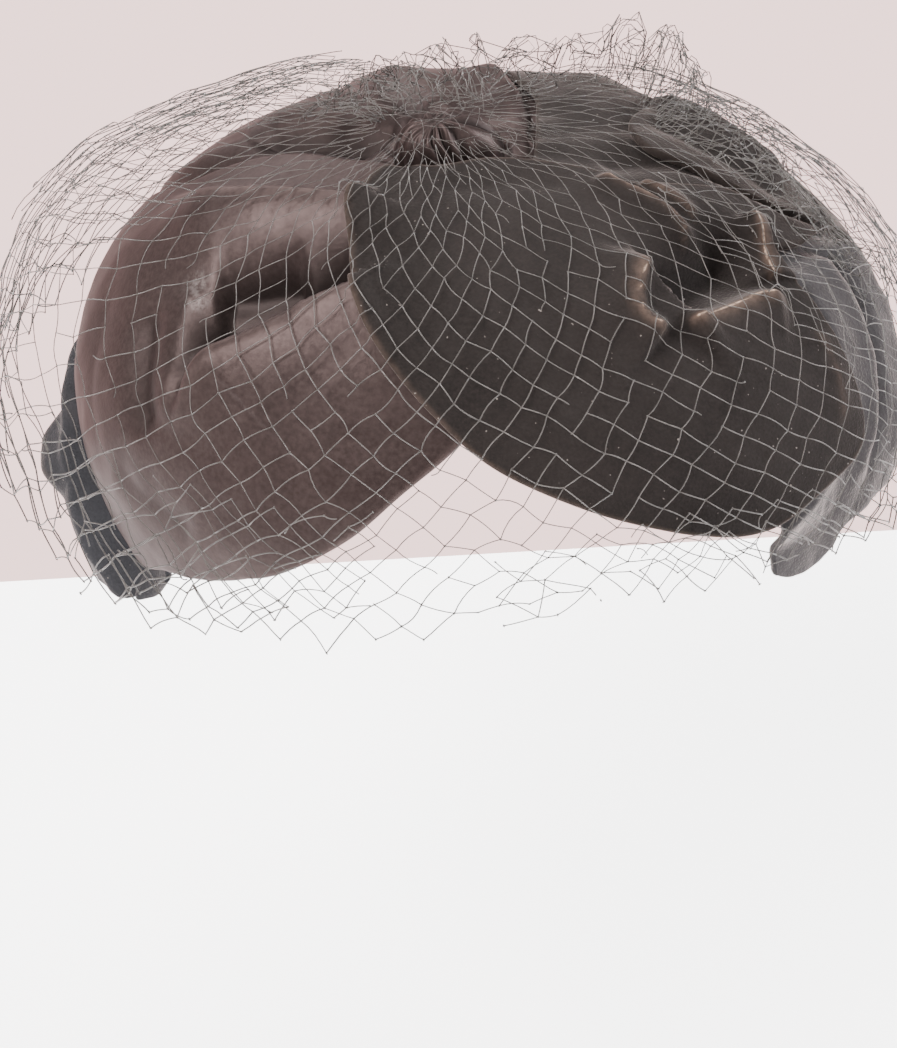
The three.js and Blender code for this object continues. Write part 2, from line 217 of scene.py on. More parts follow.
class Fold:
    """A ridge or valley along a line of places, with its own width to the left and right."""

    def __init__(self, line, height, left, right, fade_in=0.15, fade_out=0.2, edge=1.6):
        self.points = spline(chart(line), 8, False)
        self.height, self.left, self.right = height * FOLD_DEPTH, left, right
        self.fade_in, self.fade_out, self.edge = fade_in, fade_out, edge

    def measure(self, spots):
        """How far each spot is from the line, on which side, and how far along."""
        best = np.full(len(spots), np.inf)
        side, along = np.zeros(len(spots)), np.zeros(len(spots))
        for i, (a, b) in enumerate(zip(self.points, self.points[1:])):
            run, start = b - a, spots - a
            t = np.clip(start @ run / (run @ run), 0, 1)
            away = np.linalg.norm(start - t[:, None] * run, axis=1)
            nearer = away < best
            best = np.where(nearer, away, best)
            side = np.where(nearer, run[0] * start[:, 1] - run[1] * start[:, 0], side)
            along = np.where(nearer, (i + t) / (len(self.points) - 1), along)
        return best, side, along

    def fade(self, along):
        start = ease(along / self.fade_in) if self.fade_in else 1
        end = ease((1 - along) / self.fade_out) if self.fade_out else 1
        return start * end

    def __call__(self, spots):
        away, side, along = self.measure(spots)
        width = np.where(side > 0, self.left, self.right)
        return self.height * self.fade(along) * np.exp(-(away / width) ** self.edge)

    def wear_and_highlight(self, spots, share):
        """How near each spot is to the fold's line, for a mark that is partly wear and partly painted
        highlight along the crest; it reaches further on the gentle side.
        """
        away, side, along = self.measure(spots)
        reach = np.clip(np.where(side > 0, self.left, self.right) * share, 0.3, 2.2)
        return self.fade(along) * np.exp(-(away / reach) ** 1.2)


class Outline:
    """A closed outline on the chart, as its reach from a middle in each direction."""

    def __init__(self, middle, rows):
        self.centre = chart([middle])[0]
        away = spline(chart(rows), 14, True) - self.centre
        turn = np.arctan2(away[:, 1], away[:, 0])
        order = np.argsort(turn)
        self.turns = turn[order]
        self.reaches = np.hypot(away[:, 0], away[:, 1])[order]

    def reach(self, turn):
        return np.interp(turn, self.turns, self.reaches, period=2 * np.pi)

    def share(self, spots):
        away = spots - self.centre
        return np.hypot(away[:, 0], away[:, 1]) / self.reach(np.arctan2(away[:, 1], away[:, 0]))


class Petal:
    """A layer of cloth over the form: its level, puff, dip toward the crown, folds and what covers it."""

    def __init__(self, outline, level=0.0, puff=0.0, dip=0.0, folds=(), covers=(), extra=None,
                 lifted_by=None):
        self.outline, self.level, self.puff, self.dip = outline, level, puff, dip
        self.folds = [Fold(**row) for row in folds]
        self.covers, self.extra, self.lifted_by = covers, extra, lifted_by

    def free(self, spots):
        height = self.level + self.puff * (1 - np.minimum(self.outline.share(spots), 1) ** 2)
        fall = np.hypot(spots[:, 0], spots[:, 1])
        height = height - self.dip * (1 - ease((fall - DIP_START) / DIP_SPREAD))
        for fold in self.folds:
            height = height + fold(spots)
        if self.extra:
            height = height + self.extra(spots)
        return height

    def height(self, spots):
        height = self.free(spots)
        if self.lifted_by:
            inside = ease((self.outline.share(spots) - LIFT_FROM) / (1 - LIFT_FROM))
            height = height + np.maximum(self.lifted_by.free(spots) + PITCH - height, 0) * inside
        return under_covers(height, spots, self.covers)


def under_covers(height, spots, covers):
    for row in covers:
        over, sink, rise = row["over"], row.get("sink", 0), row.get("rise", COVER_RISE)
        beneath = over.height(spots) - PITCH - sink
        clear = ease((over.outline.share(spots) - 1 - COVER_MARGIN) / rise)
        height = mix(np.minimum(beneath, height), height, clear)
    return height


# Outlines, as bearing and fall
SATIN_FRONT = Outline((-45, 55), [
    (-56, 14), (-73, 18.9), (-84.4, 24.5), (-90, 33), (-92.5, 46.5), (-100, 60), (-97, 72), (-88, 79),
    (-79, 83.5), (-71, 91), (-64, 99), (-57, 106), (-50, 104.5), (-42.4, 99.3), (-35.9, 96.3),
    (-29.8, 93.1), (-23, 88.6), (-17, 82.5), (-10.7, 74.6), (-4.7, 65.4), (2.9, 56), (12, 44), (16, 30),
    (0, 18), (-30, 14),
])
VELVET_FRONT = Outline((38, 42), [
    (-49.1, 16.5), (-40.1, 23), (-32.2, 27.3), (-22.9, 34.2), (-12.6, 42.7), (-1.5, 51.7), (8.5, 60),
    (21.1, 67.6), (33.8, 74.4), (44.1, 77.8), (56, 75.5), (63.8, 73.1), (66.8, 66.3), (68.6, 58.7),
    (71.6, 49.6), (73.5, 40.7), (81.4, 37.1), (87, 32.5), (69.2, 21.5), (60, 14.5), (45, 10.5), (10, 8.2),
    (-22, 10.8), (-39.4, 14),
])
SATIN_BACK = Outline((-120, 46), [
    (-48, 27), (-62, 31), (-73, 36), (-75, 50), (-79, 62), (-90, 76), (-112, 84), (-135, 87), (-158, 86),
    (-176, 82), (176, 66), (172, 44), (160, 24), (118, 13), (100, 14), (60, 20), (20, 20), (-20, 21),
])
VELVET_BACK = Outline((142, 46), [
    (52, 9), (55, 17), (64, 26), (74, 35), (84, 44), (102, 52), (111, 65), (122, 79), (141, 87), (162, 87),
    (-178, 83), (-177, 66), (-174, 48), (-179, 33), (170, 22), (158, 14), (120, 7),
])
CROWN_FOLD = Outline((113, 36), [
    (138, 30), (146, 38), (141, 42), (130.3, 41), (120, 44), (114.8, 49.5), (109, 51.5), (101, 49.5),
    (96.5, 43), (94.5, 36.4), (97.5, 28.2), (103, 21.2), (123.5, 21.2),
])
KNOT = Outline((-73, 6.8), [
    (-124, 10), (-100, 12), (-72, 12.6), (-46, 10.2), (-22, 5.6), (40, 2.6), (150, 3.6), (-160, 6),
])

# Folds, with heights as shares of the fold depth and widths in degrees
SATIN_FRONT_FOLDS = [
    dict(line=[(-36, 22), (-58.6, 28.6), (-72, 36.6), (-88, 50)], height=1.35, left=9, right=1.8,
         fade_in=0, fade_out=0.4, edge=2.2),
    dict(line=[(-23.8, 33.5), (-31.2, 39.3), (-36.8, 45.9), (-42.3, 52.9), (-41.4, 61.6)], height=-1.7,
         left=1.0, right=7.5, fade_in=0, fade_out=0.3, edge=1.0),
    dict(line=[(-33, 36), (-43, 42), (-49, 46.5)], height=-0.95, left=5, right=5),
    dict(line=[(-22, 34.5), (-29.4, 40.2), (-35.2, 46.7), (-40.9, 53.7), (-40.1, 61.5), (-39.7, 69.1)],
         height=1.15, left=13, right=1.0, fade_in=0, fade_out=0.45),
    dict(line=[(-55, 46), (-49, 53), (-44.5, 60), (-41.5, 69)], height=0.35, left=3.5, right=3),
    dict(line=[(-60, 54), (-53, 60), (-48, 66), (-44, 72)], height=-0.55, left=2.6, right=4),
    dict(line=[(-52, 82), (-42, 84), (-32, 84)], height=-0.25, left=5, right=5),
    dict(line=[(-72, 60), (-66, 70), (-60, 80), (-54, 92)], height=-0.25, left=6, right=6),
]
VELVET_FRONT_FOLDS = [
    dict(line=[(45, 38), (54, 37.5), (63, 37.5), (76, 36.5)], height=-2.6, left=5.5, right=4.5,
         fade_in=0.08, fade_out=0.25),
    dict(line=[(46, 31), (37.6, 36), (35.6, 39.5), (38.6, 43)], height=1.1, left=1.2, right=5,
         fade_out=0.1),
    dict(line=[(43.2, 42.6), (47, 42.2), (53, 42.8), (61, 43.8), (66.5, 47)], height=1.1, left=1.1, right=6,
         fade_in=0.06),
    dict(line=[(54, 17), (58, 22), (61, 28), (58, 33)], height=0.9, left=1.8, right=2.2),
    dict(line=[(66, 21), (67, 26), (66, 31)], height=0.8, left=1.5, right=1.8),
    dict(line=[(62, 18), (64, 25), (63, 31)], height=-0.6, left=1.4, right=1.4),
    dict(line=[(78, 35), (72.5, 39), (67, 43.5)], height=1.0, left=4, right=1.6, fade_in=0.1, fade_out=0.1),
    dict(line=[(-20, 16), (0, 14), (30, 14), (50, 18)], height=-0.35, left=5, right=3),
    dict(line=[(66, 52), (64, 60), (60, 68)], height=0.25, left=5, right=4),
]
SATIN_BACK_FOLDS = [
    dict(line=[(-112, 14), (-119, 21), (-120, 29), (-115, 40)], height=0.7, left=3, right=6),
    dict(line=[(-100, 14), (-104, 21), (-106, 28), (-104, 38)], height=-1.7, left=4, right=5.5, edge=1.0,
         fade_in=0.1),
    dict(line=[(-136, 13), (-127, 18), (-125, 24)], height=0.6, left=4, right=4),
    dict(line=[(-150, 10), (-152, 26), (-150, 42), (-146, 62)], height=0.6, left=3.5, right=4),
    dict(line=[(-128, 12), (-138, 24), (-142, 40), (-140, 60)], height=-0.5, left=3, right=3),
    dict(line=[(160, 8), (180, 22), (-172, 40)], height=0.5, left=3, right=3),
]
VELVET_BACK_FOLDS = [
    dict(line=[(150, 14), (158, 28), (164, 46), (166, 66)], height=0.5, left=5, right=6),
    dict(line=[(120, 18), (132, 34), (138, 52), (140, 70)], height=-0.5, left=4, right=4),
    dict(line=[(90, 14), (104, 24), (112, 34)], height=-0.4, left=3, right=3),
    dict(line=[(-175, 14), (-172, 30), (-174, 48)], height=-0.35, left=3, right=4),
]
CROWN_FOLDS = [
    dict(line=[(140, 31), (132, 36), (120, 39), (108, 46)], height=0.9, left=5, right=6),
    dict(line=[(128, 24), (114, 29), (104, 37), (100, 45)], height=-0.3, left=2.5, right=2.5),
]
RIGHT_DRAPE_FOLDS = [Fold(**row) for row in [
    dict(line=[(99, 38), (90, 50), (84, 62), (77, 74), (69, 84), (60, 91)], height=-0.8, left=2, right=2.6,
         fade_out=0.6),
    dict(line=[(94, 38), (85, 50), (79, 62), (72, 74), (64, 84), (56, 91)], height=0.4, left=3, right=3,
         fade_out=0.5),
    dict(line=[(106, 44), (97, 56), (91, 68), (84, 80), (74, 90)], height=0.45, left=3.5, right=4),
    dict(line=[(112, 52), (104, 64), (97, 76), (88, 88)], height=-0.35, left=3, right=3.5),
]]
LEFT_DRAPE_FOLDS = [Fold(**row) for row in [
    dict(line=[(-180, 66), (-180, 100)], height=-0.95, left=12, right=12, fade_in=0, fade_out=0),
    dict(line=[(-96, 84), (-82, 92), (-70, 99), (-60, 108)], height=-0.5, left=2.5, right=3),
    dict(line=[(-110, 86), (-90, 97), (-76, 105)], height=0.4, left=3, right=3),
    dict(line=[(-82, 96), (-76, 99), (-69.5, 101.5)], height=1.3, left=3.4, right=3.4, fade_in=0.35,
         fade_out=0.35),
    dict(line=[(-88, 86), (-78, 90.5), (-68, 94)], height=0.25, left=4, right=4),
    dict(line=[(-56, 98), (-55, 104), (-55, 112)], height=-0.4, left=1.6, right=1.6, fade_out=0),
]]


def gathers(amount, waves, spread, seed):
    """Fine radial puckers that fade away from the knot."""
    def wave(spots):
        away = spots - KNOT.centre
        far = np.hypot(away[:, 0], away[:, 1])
        turn = np.arctan2(away[:, 1], away[:, 0])
        wander = turn * waves + 1.3 * noise(spots, 9, seed)
        return amount * np.cos(wander) * np.exp(-far / spread) * ease(far / 6)
    return wave


def slack(amount, size, seed):
    """Soft unevenness of cloth that isn't stretched."""
    return lambda spots: amount * (noise(spots, size, seed) + 0.5 * noise(spots, size / 2.3, seed + 1))


def both(*parts):
    return lambda spots: sum(part(spots) for part in parts)


satin_front_free = Petal(SATIN_FRONT, puff=PUFF, folds=SATIN_FRONT_FOLDS, extra=slack(0.3, 11, 3))
velvet_front = Petal(
    VELVET_FRONT, level=PITCH, puff=PUFF, folds=VELVET_FRONT_FOLDS,
    extra=both(slack(0.3, 9, 5), gathers(0.5, 15, 12, 8)), lifted_by=satin_front_free,
)
crown_fold = Petal(CROWN_FOLD, folds=CROWN_FOLDS, extra=slack(0.2, 6, 7))
velvet_back = Petal(
    VELVET_BACK, dip=4.0, folds=VELVET_BACK_FOLDS, extra=both(slack(0.35, 10, 9), gathers(0.9, 17, 16, 10)),
    covers=[dict(over=velvet_front), dict(over=crown_fold)],
)
satin_front = Petal(
    SATIN_FRONT, puff=PUFF, folds=SATIN_FRONT_FOLDS, extra=slack(0.3, 11, 3),
    covers=[dict(over=velvet_front, rise=0.03)],
)


class KnotSeat:
    """The knot's underside, which the satin goes under."""

    outline = KNOT

    @staticmethod
    def height(spots):
        return np.full(len(spots), KNOT_SEAT)


satin_back = Petal(
    SATIN_BACK, dip=5.5, folds=SATIN_BACK_FOLDS, extra=both(slack(0.35, 9, 11), gathers(1.0, 15, 16, 12)),
    covers=[
        dict(over=velvet_back, rise=0.05), dict(over=velvet_front),
        dict(over=satin_front, sink=1.8, rise=0.25), dict(over=KnotSeat),
    ],
)

# Side drapes, as rows of bearing, top fall, bottom fall and flare
RIGHT_ROWS = [
    (47, 76, 91.5, -0.2), (50, 72, 93.5, -0.2), (55, 66, 95, -0.2), (58.5, 61, 93.8, -0.2),
    (62, 54, 91.5, -0.2), (70, 41, 91.5, -0.1), (82, 35, 93, 0), (96, 37, 94, 0), (115, 52, 95, 0),
    (145, 70, 95, 0), (183, 70, 94, 0),
]
LEFT_ROWS = [
    (-179.9, 70, 94, 0), (-145, 74, 95, 0), (-115, 72, 98, 0.5), (-92, 73, 104, 0.9), (-77, 77, 109, 1.3),
    (-67, 80, 112, 1.7), (-58, 86, 113, 1.4), (-51, 92, 111, 0.4), (-46.5, 96, 106, 0),
]
RIGHT_COVERS = [dict(over=velvet_front, rise=0.06), dict(over=velvet_back), dict(over=crown_fold)]
LEFT_COVERS = [dict(over=satin_front, rise=0.1), dict(over=satin_back)]


def drape_spots(rows, runs, falls):
    rows = spline(np.array(rows, float), 24, False)
    at = np.linspace(0, len(rows) - 1, runs + 1)
    low = np.minimum(at.astype(int), len(rows) - 2)
    rows = mix(rows[low], rows[low + 1], (at - low)[:, None])
    down = np.tile(crowded(falls), runs + 1)
    bearing, top, bottom, flare = (np.repeat(rows[:, i], falls + 1) for i in range(4))
    return chart(np.stack([bearing, mix(top, bottom, down)], 1)), down, flare


def drape_height(spots, down, flare, folds, covers, seed):
    height = flare * DRAPE_FLARE * ease((down - 0.25) / 0.5)
    height += DRAPE_PLEAT * np.sin(down * 2 * np.pi)
    height += slack(0.35, 6, seed)(spots)
    for fold in folds:
        height = height + fold(spots)
    return under_covers(height, spots, covers)


# Cloth solids
def crowded(cells):
    """Steps from 0 to 1 that crowd toward both ends, so that a rim can be rounded."""
    reach = 0.45 * np.pi
    return (np.sin(np.linspace(-reach, reach, cells + 1)) / math.sin(reach) + 1) / 2


def grid_faces(rows, columns):
    a = (np.arange(rows)[:, None] * (columns + 1) + np.arange(columns)[None, :]).ravel()
    b = a + columns + 1
    return np.stack([a, b, b + 1, a + 1], 1)


def grid_rim(rows, columns):
    """The places round a grid's edge, in order."""
    across = columns + 1
    top = [i * across for i in range(rows)]
    right = [rows * across + j for j in range(columns)]
    bottom = [i * across + columns for i in range(rows, 0, -1)]
    left = list(range(columns, 0, -1))
    return np.array(top + right + bottom + left)


def make_mesh(name, points, faces, marks=None):
    mesh = bpy.data.meshes.new(name)
    mesh.from_pydata(np.asarray(points).tolist(), [], np.asarray(faces).tolist())
    for mark, values in (marks or {}).items():
        layer = mesh.attributes.new(mark, "FLOAT", "POINT")
        layer.data.foreach_set("value", np.asarray(values, np.float32))
    mesh.polygons.foreach_set("use_smooth", [True] * len(mesh.polygons))
    mesh.validate()
    piece = bpy.data.objects.new(name, mesh)
    bpy.context.scene.collection.objects.link(piece)
    return piece


def rounded(share, cloth_reach):
    """How far a rim has turned in, from 0 to 1, over its last cloth_reach of the way."""
    t = np.clip((share - 1 + cloth_reach) / cloth_reach, 0, 1)
    return 1 - np.sqrt(np.maximum(1 - t * t, 0))


def cloth(name, spots, rows, columns, outer, rim_turn, marks, wall=WALL, inner=None):
    """One closed solid of cloth: an outer face, an inner face and a rounded rim."""
    place, normal = on_form(spots)
    inner = outer - wall if inner is None else inner
    half = (outer - inner) / 2 * 0.96
    outside = place + normal * (outer - half * rim_turn)[:, None]
    inside = place + normal * (inner + half * rim_turn)[:, None]
    points = np.vstack([outside, inside]) * MM
    faces = grid_faces(rows, columns)
    count = len(spots)
    rim = grid_rim(rows, columns)
    after = np.roll(rim, -1)
    back = faces[:, ::-1] + count
    edge = np.stack([after, rim, rim + count, after + count], 1)
    marks = {mark: np.tile(values, 2) for mark, values in marks.items()}
    return make_mesh(name, points, np.vstack([faces, back, edge]), marks)


def petal_spots(outline, cells):
    x = crowded(cells) * 2 - 1
    x, y = (g.ravel() for g in np.meshgrid(x, x, indexing="ij"))
    step = np.stack([x * np.sqrt(1 - y * y / 2), y * np.sqrt(1 - x * x / 2)], 1)
    reach = outline.reach(np.arctan2(step[:, 1], step[:, 0]))
    return outline.centre + step * reach[:, None], np.hypot(step[:, 0], step[:, 1])


# Marks along fold crests: partly real wear, partly a painted highlight where the ridges catch the light.
def wear_and_highlight_marks(spots, folds, share):
    wear_and_highlight = np.zeros(len(spots))
    if not share:
        return wear_and_highlight
    for fold in folds:
        if fold.height > 0:
            wear_and_highlight = np.maximum(wear_and_highlight, fold.wear_and_highlight(spots, share) * min(fold.height / FOLD_DEPTH, 1))
    return wear_and_highlight


def painted_crease_shade_marks(spots, folds):
    """How deep each spot lies in the hollow of a fold, for painted shade that darkens the satin there."""
    deep = np.zeros(len(spots))
    for fold in folds:
        if fold.height < 0:
            away, side, along = fold.measure(spots)
            reach = np.where(side > 0, fold.left, fold.right)
            here = fold.fade(along) * np.exp(-(away / reach) ** 2) * min(-fold.height / FOLD_DEPTH, 1)
            deep = np.maximum(deep, here)
    return deep


def petal(name, layer, cells, crest_wear_and_highlight_share, rim_wear_and_highlight):
    spots, share = petal_spots(layer.outline, cells)
    # The crest and rim marks are partly wear and partly painted highlight; the hollow marks are painted
    # shade.
    wear_and_highlight = np.maximum(wear_and_highlight_marks(spots, layer.folds, crest_wear_and_highlight_share), rim_wear_and_highlight * ease((share - 0.965) / 0.03))
    marks = {"wear_and_highlight": wear_and_highlight, "painted_crease_shade": painted_crease_shade_marks(spots, layer.folds)}
    return cloth(name, spots, cells, cells, layer.height(spots), rounded(share, 0.022), marks)


def dress(piece, material, node):
    piece.data.materials.append(material)
    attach(piece, BODY)
    if node:
        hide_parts(node)


# Colours of the cloths, as linear red, green and blue
SATIN_LIGHT = (0.032, 0.0228, 0.0218)
SATIN_SHADE = (0.0255, 0.018, 0.0174)
SATIN_THREAD = (0.075, 0.056, 0.053)
# A lighter tone for satin crests and rims: partly wear, partly painted highlight.
SATIN_WEAR_AND_HIGHLIGHT = (0.15, 0.108, 0.10)
SATIN_FUZZ = (0.17, 0.15, 0.145)
# Painted shade for fold hollows.
SATIN_PAINTED_SHADE = (0.006, 0.0045, 0.0042)
# Copper along velvet ridges and rims: partly crushed pile, partly painted highlight.
VELVET_WEAR_AND_HIGHLIGHT = (0.13, 0.088, 0.068)
# A bright painted highlight for the sharpest velvet crests.
VELVET_PAINTED_HIGHLIGHT = (0.52, 0.37, 0.28)
LINT = (0.16, 0.14, 0.13)
NET_DARK = (0.030, 0.026, 0.023)
NET_LIGHT = (0.065, 0.057, 0.052)


# Materials
class Nodes:
    """Short names for building a node tree."""

    def __init__(self, name):
        self.material = bpy.data.materials.new(name)
        self.material.use_nodes = True
        self.tree = self.material.node_tree
        self.shader = self.tree.nodes["Principled BSDF"]

    def add(self, kind, **settings):
        node = self.tree.nodes.new(kind)
        for key, value in settings.items():
            if key in node.inputs:
                node.inputs[key].default_value = value
            else:
                setattr(node, key, value)
        return node

    def link(self, out, into):
        self.tree.links.new(out, into)

    def noise(self, scale, detail=3.0, roughness=0.5):
        node = self.add("ShaderNodeTexNoise", Scale=scale, Detail=detail, Roughness=roughness)
        self.link(self.place(), node.inputs["Vector"])
        return node.outputs["Fac"]

    def place(self):
        return self.add("ShaderNodeTexCoord").outputs["Object"]

    def mark(self, name):
        return self.add("ShaderNodeAttribute", attribute_name=name).outputs["Fac"]

    def curve(self, value, low, high, to_low=0.0, to_high=1.0):
        node = self.add("ShaderNodeMapRange")
        for i, number in enumerate((low, high, to_low, to_high)):
            node.inputs[i + 1].default_value = number
        self.link(value, node.inputs[0])
        return node.outputs[0]

    def math(self, operation, a, b):
        node = self.add("ShaderNodeMath", operation=operation)
        for i, value in enumerate((a, b)):
            if isinstance(value, (int, float)):
                node.inputs[i].default_value = value
            else:
                self.link(value, node.inputs[i])
        return node.outputs[0]

    def blend(self, share, a, b):
        node = self.add("ShaderNodeMix", data_type="RGBA")
        self.link(share, node.inputs[0])
        for socket, colour in ((6, a), (7, b)):
            if isinstance(colour, tuple):
                node.inputs[socket].default_value = (*colour, 1)
            else:
                self.link(colour, node.inputs[socket])
        return node.outputs[2]

    def bump(self, height, strength, distance):
        node = self.add("ShaderNodeBump", Strength=strength, Distance=distance)
        self.link(height, node.inputs["Height"])
        self.link(node.outputs[0], self.shader.inputs["Normal"])

    def set(self, **values):
        for key, value in values.items():
            self.shader.inputs[key.replace("_", " ")].default_value = value


def satin_material():
    n = Nodes("satin")
    mottle = n.curve(n.noise(38, 4), 0.35, 0.65)
    base = n.blend(mottle, SATIN_LIGHT, SATIN_SHADE)
    fine = n.curve(n.noise(900, 2), 0.3, 0.7)
    base = n.blend(n.math("MULTIPLY", fine, 0.3), base, SATIN_THREAD)
    # Crests and rims lighten: partly wear, partly painted highlight.
    wear_and_highlight = n.math("MULTIPLY", n.mark("wear_and_highlight"), n.curve(n.noise(420, 4), 0.35, 0.65, 0.3, 1.0))
    base = n.blend(n.math("MULTIPLY", wear_and_highlight, 0.35), base, SATIN_WEAR_AND_HIGHLIGHT)
    fuzz = n.math("MULTIPLY", n.mark("fuzz"), n.curve(n.noise(700, 5, 0.7), 0.42, 0.66, 0, 0.7))
    base = n.blend(fuzz, base, SATIN_FUZZ)
    # Fold hollows darken: painted shade.
    base = n.blend(n.math("MULTIPLY", n.mark("painted_crease_shade"), 0.92), base, SATIN_PAINTED_SHADE)
    n.link(base, n.shader.inputs["Base Color"])
    n.link(n.curve(mottle, 0, 1, 0.42, 0.5), n.shader.inputs["Roughness"])
    n.set(Metallic=0.6, Sheen_Weight=0.04, Sheen_Roughness=0.4, Sheen_Tint=(0.9, 0.78, 0.76, 1),
          Specular_IOR_Level=0.3, Specular_Tint=(0.42, 0.37, 0.37, 1))
    weave = n.math("ADD", n.noise(1400, 2), n.noise(300, 3))
    n.bump(weave, 0.2, 0.0002)
    return n.material


def velvet_material(name, dark, light, edge, sheen):
    n = Nodes(name)
    mottle = n.curve(n.noise(45, 5, 0.6), 0.35, 0.65)
    base = n.blend(mottle, dark, light)
    pile = n.curve(n.noise(1500, 2), 0.3, 0.75)
    base = n.blend(n.math("MULTIPLY", pile, 0.3), base, edge)
    # Ridges and rims turn copper: partly crushed pile, partly painted highlight.
    wear_and_highlight = n.math("MULTIPLY", n.mark("wear_and_highlight"), n.curve(n.noise(500, 4, 0.6), 0.3, 0.6, 0.25, 0.8))
    base = n.blend(n.math("MULTIPLY", wear_and_highlight, 0.8), base, VELVET_WEAR_AND_HIGHLIGHT)
    # The sharpest crests take a bright painted highlight.
    crest_highlight = n.math("MULTIPLY", n.curve(n.mark("wear_and_highlight"), 0.78, 1.0), n.curve(n.noise(900, 3, 0.6), 0.35, 0.6))
    base = n.blend(crest_highlight, base, VELVET_PAINTED_HIGHLIGHT)
    lint = n.curve(n.noise(1300, 0), 0.84, 0.88)
    base = n.blend(lint, base, LINT)
    n.link(base, n.shader.inputs["Base Color"])
    n.set(Roughness=0.95, Sheen_Weight=sheen, Sheen_Roughness=0.32, Sheen_Tint=(0.85, 0.72, 0.68, 1),
          Specular_IOR_Level=0.15)
    n.bump(n.math("ADD", n.noise(1600, 2), n.noise(240, 4)), 0.5, 0.0004)
    return n.material


def net_material():
    n = Nodes("net")
    tone = n.curve(n.noise(160, 3), 0.35, 0.65)
    base = n.blend(tone, NET_DARK, NET_LIGHT)
    n.link(base, n.shader.inputs["Base Color"])
    n.set(Roughness=0.55, Sheen_Weight=0.4, Sheen_Roughness=0.3, Specular_IOR_Level=0.5)
    n.bump(n.noise(2500, 2), 0.4, 0.0001)
    return n.material


SATIN = satin_material()
VELVET = velvet_material(
    "velvet", dark=(0.0068, 0.0055, 0.0051), light=(0.012, 0.0098, 0.0092), edge=(0.027, 0.0215, 0.0202),
    sheen=0.22,
)
# A lighter copy of the velvet for the right drape: painted light, as that side catches more light.
VELVET_PAINTED_LIT = velvet_material(
    "velvet_painted_lit", dark=(0.022, 0.0203, 0.0216), light=(0.0335, 0.0317, 0.0335),
    edge=(0.063, 0.061, 0.063), sheen=0.7,
)
# A darker, bluish copy of the velvet for the left drape: painted shade, as that side lies in shadow.
VELVET_PAINTED_SHADE = velvet_material(
    "velvet_painted_shade", dark=(0.012, 0.0125, 0.0145), light=(0.019, 0.0195, 0.0225), edge=(0.038, 0.038, 0.043),
    sheen=0.3,
)
NET = net_material()

PETAL_CELLS = 150
FRONT_CELLS = 200
SMALL_CELLS = 80

satin_front_piece = petal("satin_front_petal_cloth", satin_front, FRONT_CELLS, 0.12, 0.5)
velvet_front_piece = petal("velvet_front_petal_cloth", velvet_front, PETAL_CELLS, 0.17, 0.3)
satin_back_piece = petal("satin_back_petal_cloth", satin_back, PETAL_CELLS, 0.15, 0.3)
velvet_back_piece = petal("velvet_back_petal_cloth", velvet_back, PETAL_CELLS, 0, 0.1)
crown_fold_piece = petal("velvet_crown_fold_cloth", crown_fold, SMALL_CELLS, 0, 0.1)


def mark_fuzz(piece, places):
    """A pale, rubbed spot on the satin, where its threads have lifted."""
    points = np.empty(len(piece.data.vertices) * 3)
    piece.data.vertices.foreach_get("co", points)
    points = points.reshape(-1, 3) / MM
    fuzz = np.zeros(len(points))
    for bearing, fall, reach in places:
        middle, _ = on_form(chart([(bearing, fall)]))
        away = np.linalg.norm(points - middle, axis=1)
        fuzz = np.maximum(fuzz, np.exp(-(away / reach) ** 2))
    layer = piece.data.attributes.new("fuzz", "FLOAT", "POINT")
    layer.data.foreach_set("value", fuzz.astype(np.float32))


mark_fuzz(satin_front_piece, [(-54, 46.5, 3.0), (-51, 48, 2.2), (-44, 55, 1.6)])
dress(satin_front_piece, SATIN, "satin_front_petal")
dress(velvet_front_piece, VELVET, "velvet_front_petal")
dress(satin_back_piece, SATIN, "satin_back_petal")
dress(velvet_back_piece, VELVET, "velvet_back_petal")
dress(crown_fold_piece, VELVET, "velvet_crown_fold")


def knot_piece(name, cells):
    """A gathered knot: crooked pleats that run in to its middle."""
    spots, share = petal_spots(KNOT, cells)
    away = spots - KNOT.centre
    turn = np.arctan2(away[:, 1], away[:, 0]) + 0.5 * noise(spots, 4, 20) * share
    ribs = np.abs(np.cos(5.5 * turn + noise(spots, 3.5, 21))) ** 0.7 + 0.5 * np.cos(13 * turn)
    outer = KNOT_SEAT + KNOT_HEIGHT * 0.9 * np.maximum(1 - share ** 2.2, 0) ** 0.6
    outer = outer + 1.5 * ribs * share * (1.1 - share) * 2 - 0.6 + 0.9 * noise(spots, 2.4, 22) * (1 - share)
    inner = np.full(len(spots), KNOT_SEAT - WALL)
    # The rib tops carry the wear and painted highlight mark; the knot between its ribs is darkened with
    # painted shade.
    marks = {"wear_and_highlight": ribs * share * 0.3, "painted_crease_shade": np.clip(0.9 - 0.55 * ribs, 0, 0.8)}
    return cloth(name, spots, cells, cells, outer, rounded(share, 0.05), marks, inner=inner)


knot = knot_piece("satin_knot_cloth", SMALL_CELLS)
dress(knot, SATIN, "satin_knot")


def drape(name, rows, folds, covers, seed):
    runs, falls = ((260, 70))
    spots, down, flare = drape_spots(rows, runs, falls)
    outer = drape_height(spots, down, flare, folds, covers, seed)
    across = np.abs(down * 2 - 1)
    along = np.repeat(np.abs(np.linspace(-1, 1, runs + 1)), falls + 1)
    turn_in = np.maximum(rounded(across, 0.05), rounded(along, 0.012))
    # Fold crests on the drape: partly wear, partly painted highlight.
    wear_and_highlight = wear_and_highlight_marks(spots, folds, 0.2) * 0.3
    return cloth(name, spots, runs, falls, outer, turn_in, {"wear_and_highlight": wear_and_highlight})


